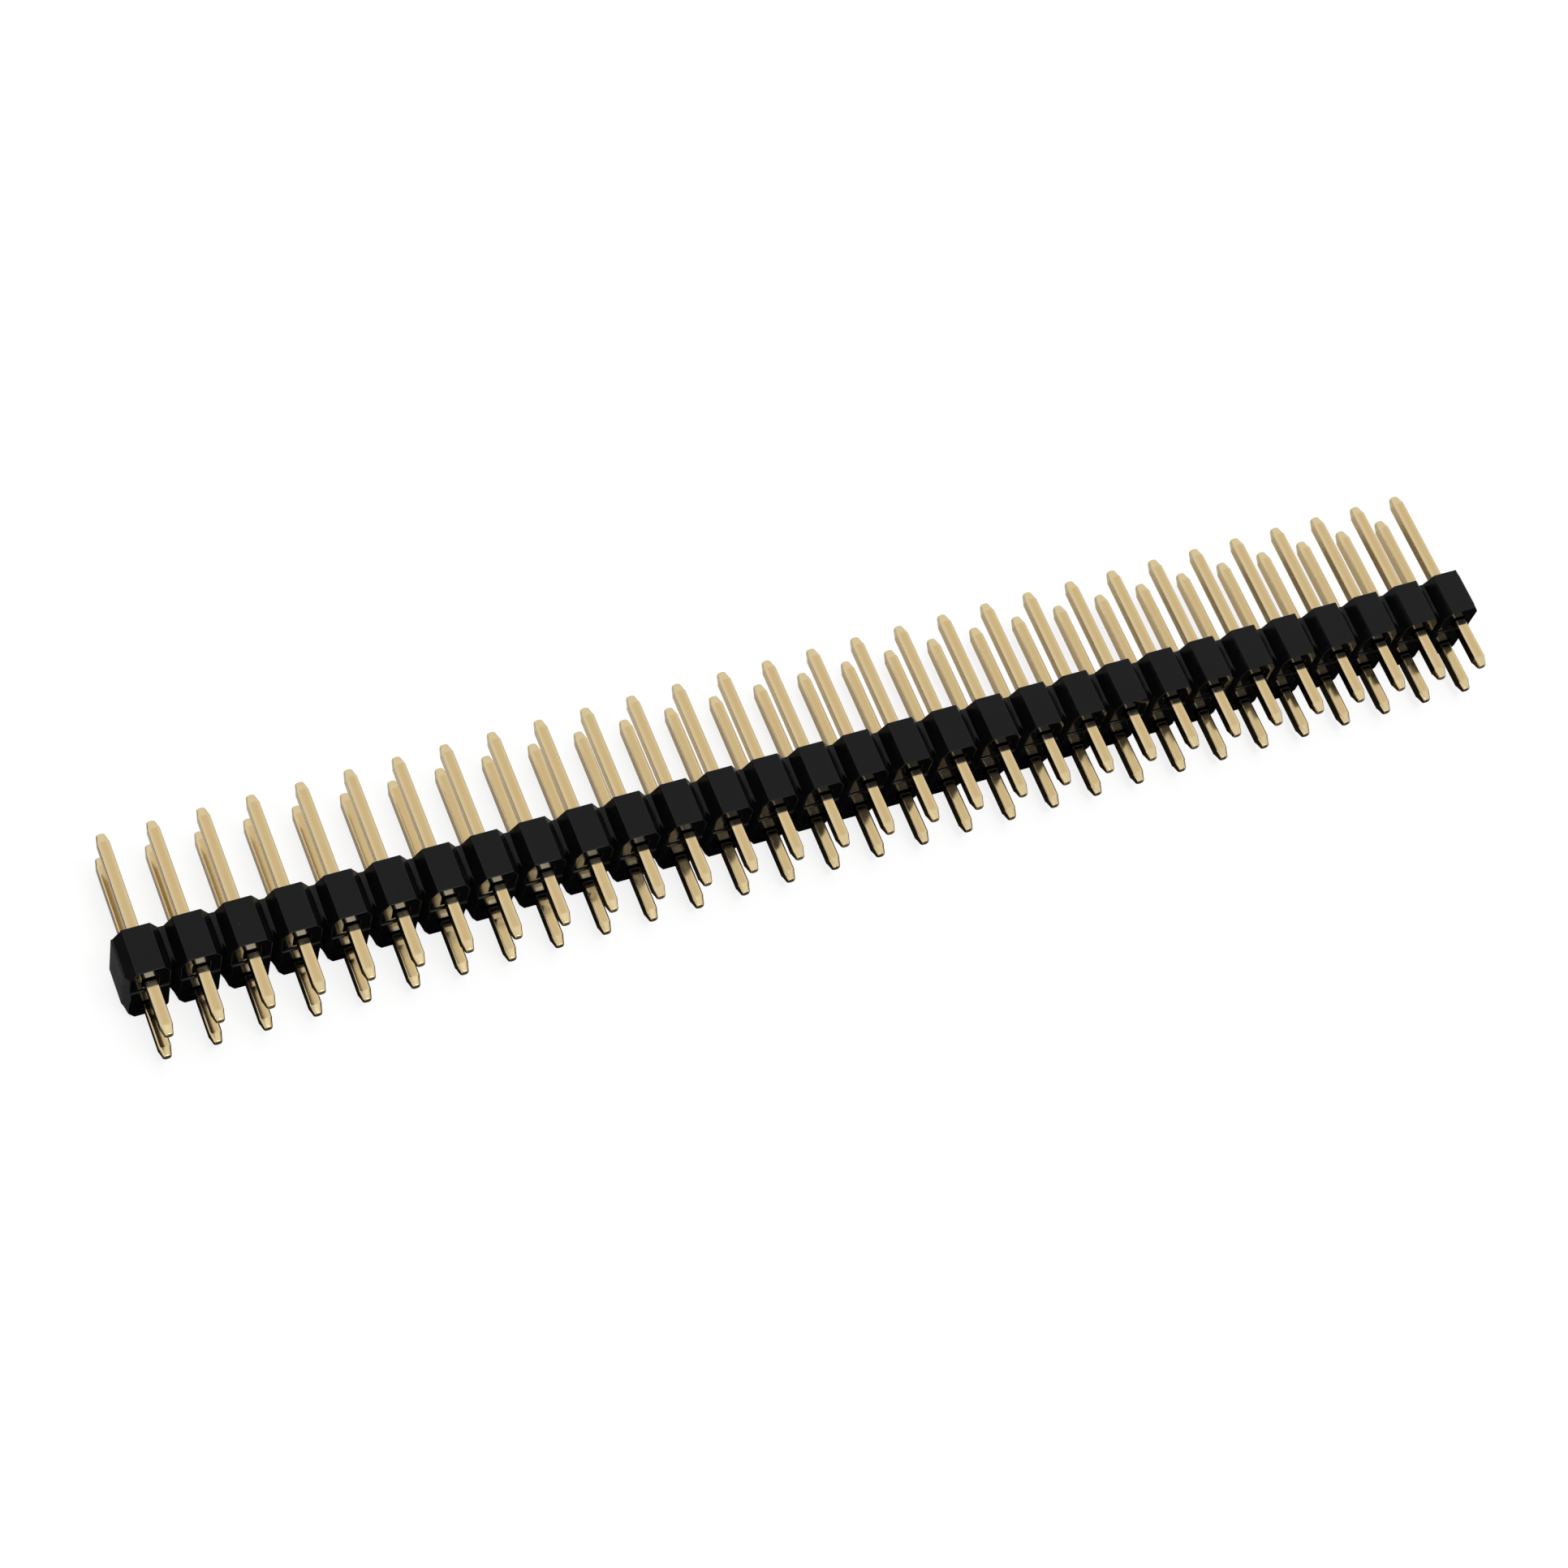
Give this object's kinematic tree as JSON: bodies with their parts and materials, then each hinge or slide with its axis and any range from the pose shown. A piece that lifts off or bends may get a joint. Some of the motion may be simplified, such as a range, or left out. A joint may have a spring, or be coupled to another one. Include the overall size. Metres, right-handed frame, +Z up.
{
  "type": "pin header strip",
  "caption": "Breakaway double-row pin header: a notched black moulding with straight square pins, short solder tails on one side and longer mating pins on the other.",
  "frame": {"origin": "centre of the bounding box's base: midway along the strip, midway along the pins' whole length, on the surface that the rear flats lie on", "axes": "+X along the strip, +Y along the pins towards the long mating ends (solder tails point to -Y), +Z up, square to the rear flats that the strip lies on"},
  "size_m": [0.076, 0.0112, 0.0048],
  "materials": {
    "moulding": "black glass-filled thermoplastic, smooth with a satin sheen",
    "contact": "pale gold flash over brass, bright"
  },
  "bodies": {
    "root": {"insulator": "moulding", "pins_01": "contact", "pins_02": "contact", "pins_03": "contact", "pins_04": "contact", "pins_05": "contact", "pins_06": "contact", "pins_07": "contact", "pins_08": "contact", "pins_09": "contact", "pins_10": "contact", "pins_11": "contact", "pins_12": "contact", "pins_13": "contact", "pins_14": "contact", "pins_15": "contact", "pins_16": "contact", "pins_17": "contact", "pins_18": "contact", "pins_19": "contact", "pins_20": "contact", "pins_21": "contact", "pins_22": "contact", "pins_23": "contact", "pins_24": "contact", "pins_25": "contact", "pins_26": "contact", "pins_27": "contact", "pins_28": "contact", "pins_29": "contact", "pins_30": "contact"}
  },
  "joints": []
}
